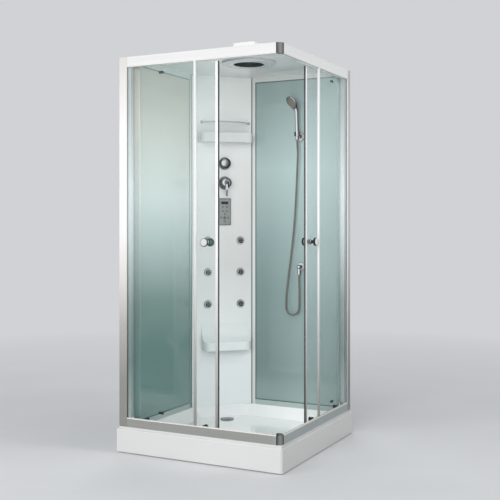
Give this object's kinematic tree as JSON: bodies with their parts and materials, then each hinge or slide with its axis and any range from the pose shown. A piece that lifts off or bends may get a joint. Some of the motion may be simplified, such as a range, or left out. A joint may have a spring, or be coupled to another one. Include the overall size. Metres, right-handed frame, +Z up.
{
  "type": "hydromassage shower cabin",
  "caption": "Square corner shower cabin with a low tray, sliding glass doors, a diagonal massage column with jets, mixer and keypad, and a hand shower on a hose",
  "frame": {"origin": "on the floor, under the middle of the tray", "axes": "+Z up; the left door side faces -Y, the right door side faces +X, the walls stand at -X and +Y"},
  "size_m": [1, 1, 2.25],
  "materials": {
    "tray_acrylic": "gloss white acrylic",
    "frame_aluminium": "satin anodised aluminium",
    "white_profile": "white powder coated aluminium",
    "dark_trim": "satin black plastic",
    "zinc_steel": "zinc plated steel tube",
    "foot_plastic": "matte black plastic",
    "drain_plastic": "matte white plastic",
    "chrome_plate": "polished chrome plate",
    "dark_metal": "dark brushed metal",
    "column_acrylic": "gloss grey white acrylic",
    "wall_glass": "tinted backing glass, nearly opaque",
    "clear_glass": "clear safety glass",
    "roller_plastic": "black nylon",
    "roof_plastic": "gloss white plastic",
    "shelf_plastic": "gloss white plastic",
    "panel_grey": "satin grey plastic",
    "panel_face": "grey keypad film with a black display",
    "fan_plastic": "black plastic",
    "fan_housing": "white plastic",
    "nozzle_dark": "dark rubber and plastic",
    "pipe_brass": "brass pipe and fittings"
  },
  "bodies": {
    "cabin": {"tray": "tray_acrylic", "support_frame": "zinc_steel", "levelling_feet": "foot_plastic", "drain_trap": "drain_plastic", "column_panel": "column_acrylic", "column_frame": "zinc_steel", "upper_shelf": "shelf_plastic", "shelf_rail": "frame_aluminium", "foot_ledge": "column_acrylic", "wall_frames": "white_profile", "wall_glass": "wall_glass", "pane_stops": "dark_trim", "corner_posts": "frame_aluminium", "top_rails": "frame_aluminium", "bottom_rails": "frame_aluminium", "corner_caps": "dark_metal", "fixed_glass": "clear_glass", "fixed_glass_profiles": "white_profile", "roof_shell": "roof_plastic", "rain_shower_ring": "roof_plastic", "fan_grille": "fan_plastic", "fan_box": "fan_housing", "mixer_body": "chrome_plate", "diverter_body": "chrome_plate", "control_panel": "panel_grey", "control_overlay": "panel_face", "jet_bodies": "chrome_plate", "supply_pipes": "pipe_brass", "hose_outlet": "chrome_plate", "handset_bracket": "chrome_plate", "shower_hose": "chrome_plate"},
    "drain_cover": {"drain_cover": "dark_metal"},
    "fan_rotor": {"fan_rotor": "fan_plastic"},
    "mixer_cap": {"mixer_cap": "chrome_plate"},
    "mixer_lever": {"mixer_lever": "chrome_plate"},
    "diverter_knob": {"diverter_knob": "chrome_plate"},
    "hand_shower": {"handset_clip": "chrome_plate", "handset": "chrome_plate"},
    "jet_nozzle_1": {"jet_nozzle_1": "nozzle_dark"},
    "jet_nozzle_2": {"jet_nozzle_2": "nozzle_dark"},
    "jet_nozzle_3": {"jet_nozzle_3": "nozzle_dark"},
    "jet_nozzle_4": {"jet_nozzle_4": "nozzle_dark"},
    "jet_nozzle_5": {"jet_nozzle_5": "nozzle_dark"},
    "jet_nozzle_6": {"jet_nozzle_6": "nozzle_dark"},
    "left_door": {"left_door_glass": "clear_glass", "left_door_profile": "white_profile", "left_door_knob": "chrome_plate", "left_door_carriers": "roller_plastic"},
    "left_door_wheel_1": {"left_door_wheel_1": "roller_plastic"},
    "left_door_wheel_2": {"left_door_wheel_2": "roller_plastic"},
    "left_door_wheel_3": {"left_door_wheel_3": "roller_plastic"},
    "left_door_wheel_4": {"left_door_wheel_4": "roller_plastic"},
    "right_door": {"right_door_glass": "clear_glass", "right_door_profile": "white_profile", "right_door_knob": "chrome_plate", "right_door_carriers": "roller_plastic"},
    "right_door_wheel_1": {"right_door_wheel_1": "roller_plastic"},
    "right_door_wheel_2": {"right_door_wheel_2": "roller_plastic"},
    "right_door_wheel_3": {"right_door_wheel_3": "roller_plastic"},
    "right_door_wheel_4": {"right_door_wheel_4": "roller_plastic"}
  },
  "joints": [
    {"name": "jet_1_tilt", "type": "hinge", "parent": "cabin", "child": "jet_nozzle_1", "pos_m": [-0.31351, 0.18765, 0.76], "axis": [0.7071, 0.7071, 0], "range_deg": [-15, 15]},
    {"name": "jet_2_tilt", "type": "hinge", "parent": "cabin", "child": "jet_nozzle_2", "pos_m": [-0.16643, 0.33472, 0.76], "axis": [0.7071, 0.7071, 0], "range_deg": [-15, 15]},
    {"name": "jet_3_tilt", "type": "hinge", "parent": "cabin", "child": "jet_nozzle_3", "pos_m": [-0.31351, 0.18765, 0.955], "axis": [0.7071, 0.7071, 0], "range_deg": [-15, 15]},
    {"name": "jet_4_tilt", "type": "hinge", "parent": "cabin", "child": "jet_nozzle_4", "pos_m": [-0.16643, 0.33472, 0.955], "axis": [0.7071, 0.7071, 0], "range_deg": [-15, 15]},
    {"name": "jet_5_tilt", "type": "hinge", "parent": "cabin", "child": "jet_nozzle_5", "pos_m": [-0.31351, 0.18765, 1.148], "axis": [0.7071, 0.7071, 0], "range_deg": [-15, 15]},
    {"name": "jet_6_tilt", "type": "hinge", "parent": "cabin", "child": "jet_nozzle_6", "pos_m": [-0.16643, 0.33472, 1.148], "axis": [0.7071, 0.7071, 0], "range_deg": [-15, 15]},
    {"name": "left_door_slide", "type": "slide", "parent": "cabin", "child": "left_door", "axis": [1, 0, 0], "range_m": [0, 0.334]},
    {"name": "left_door_wheel_1_roll", "type": "hinge", "parent": "left_door", "child": "left_door_wheel_1", "pos_m": [-0.331, -0.4645, 2.13], "axis": [0, 1, 0], "range_deg": [-10, 1925]},
    {"name": "left_door_wheel_2_roll", "type": "hinge", "parent": "left_door", "child": "left_door_wheel_2", "pos_m": [0.034, -0.4645, 2.13], "axis": [0, 1, 0], "range_deg": [-10, 1925]},
    {"name": "left_door_wheel_3_roll", "type": "hinge", "parent": "left_door", "child": "left_door_wheel_3", "pos_m": [-0.331, -0.4645, 0.183], "axis": [0, 1, 0], "range_deg": [-10, 1925]},
    {"name": "left_door_wheel_4_roll", "type": "hinge", "parent": "left_door", "child": "left_door_wheel_4", "pos_m": [0.034, -0.4645, 0.183], "axis": [0, 1, 0], "range_deg": [-10, 1925]},
    {"name": "right_door_slide", "type": "slide", "parent": "cabin", "child": "right_door", "axis": [0, -1, 0], "range_m": [0, 0.334]},
    {"name": "right_door_wheel_1_roll", "type": "hinge", "parent": "right_door", "child": "right_door_wheel_1", "pos_m": [0.4645, 0.331, 2.13], "axis": [1, 0, 0], "range_deg": [-10, 1925]},
    {"name": "right_door_wheel_2_roll", "type": "hinge", "parent": "right_door", "child": "right_door_wheel_2", "pos_m": [0.4645, -0.034, 2.13], "axis": [1, 0, 0], "range_deg": [-10, 1925]},
    {"name": "right_door_wheel_3_roll", "type": "hinge", "parent": "right_door", "child": "right_door_wheel_3", "pos_m": [0.4645, 0.331, 0.183], "axis": [1, 0, 0], "range_deg": [-10, 1925]},
    {"name": "right_door_wheel_4_roll", "type": "hinge", "parent": "right_door", "child": "right_door_wheel_4", "pos_m": [0.4645, -0.034, 0.183], "axis": [1, 0, 0], "range_deg": [-10, 1925]},
    {"name": "mixer_turn", "type": "hinge", "parent": "cabin", "child": "mixer_cap", "pos_m": [-0.20653, 0.22774, 1.501], "axis": [0.7071, -0.7071, 0], "range_deg": [-45, 45]},
    {"name": "mixer_lever_tilt", "type": "hinge", "parent": "mixer_cap", "child": "mixer_lever", "pos_m": [-0.20653, 0.22774, 1.497], "axis": [-0.7071, -0.7071, 0], "range_deg": [0, 25]},
    {"name": "diverter_turn", "type": "hinge", "parent": "cabin", "child": "diverter_knob", "pos_m": [-0.21664, 0.23785, 1.62], "axis": [0.7071, -0.7071, 0], "continuous": true},
    {"name": "handset_tilt", "type": "hinge", "parent": "cabin", "child": "hand_shower", "pos_m": [0.212, 0.362, 1.775], "axis": [1, 0, 0], "range_deg": [-5, 20], "deforming": ["shower_hose"]},
    {"name": "drain_cover_lift", "type": "slide", "parent": "cabin", "child": "drain_cover", "axis": [0, 0, 1], "range_m": [0, 0.04]},
    {"name": "fan_spin", "type": "hinge", "parent": "cabin", "child": "fan_rotor", "pos_m": [0.12, -0.12, 2.219], "axis": [0, 0, 1], "continuous": true}
  ],
  "couplings": [
    {"joint": "left_door_wheel_1_roll", "follows": "left_door_slide", "rad_per_m": 100},
    {"joint": "left_door_wheel_2_roll", "follows": "left_door_slide", "rad_per_m": 100},
    {"joint": "left_door_wheel_3_roll", "follows": "left_door_slide", "rad_per_m": 100},
    {"joint": "left_door_wheel_4_roll", "follows": "left_door_slide", "rad_per_m": 100},
    {"joint": "right_door_wheel_1_roll", "follows": "right_door_slide", "rad_per_m": 100},
    {"joint": "right_door_wheel_2_roll", "follows": "right_door_slide", "rad_per_m": 100},
    {"joint": "right_door_wheel_3_roll", "follows": "right_door_slide", "rad_per_m": 100},
    {"joint": "right_door_wheel_4_roll", "follows": "right_door_slide", "rad_per_m": 100}
  ]
}
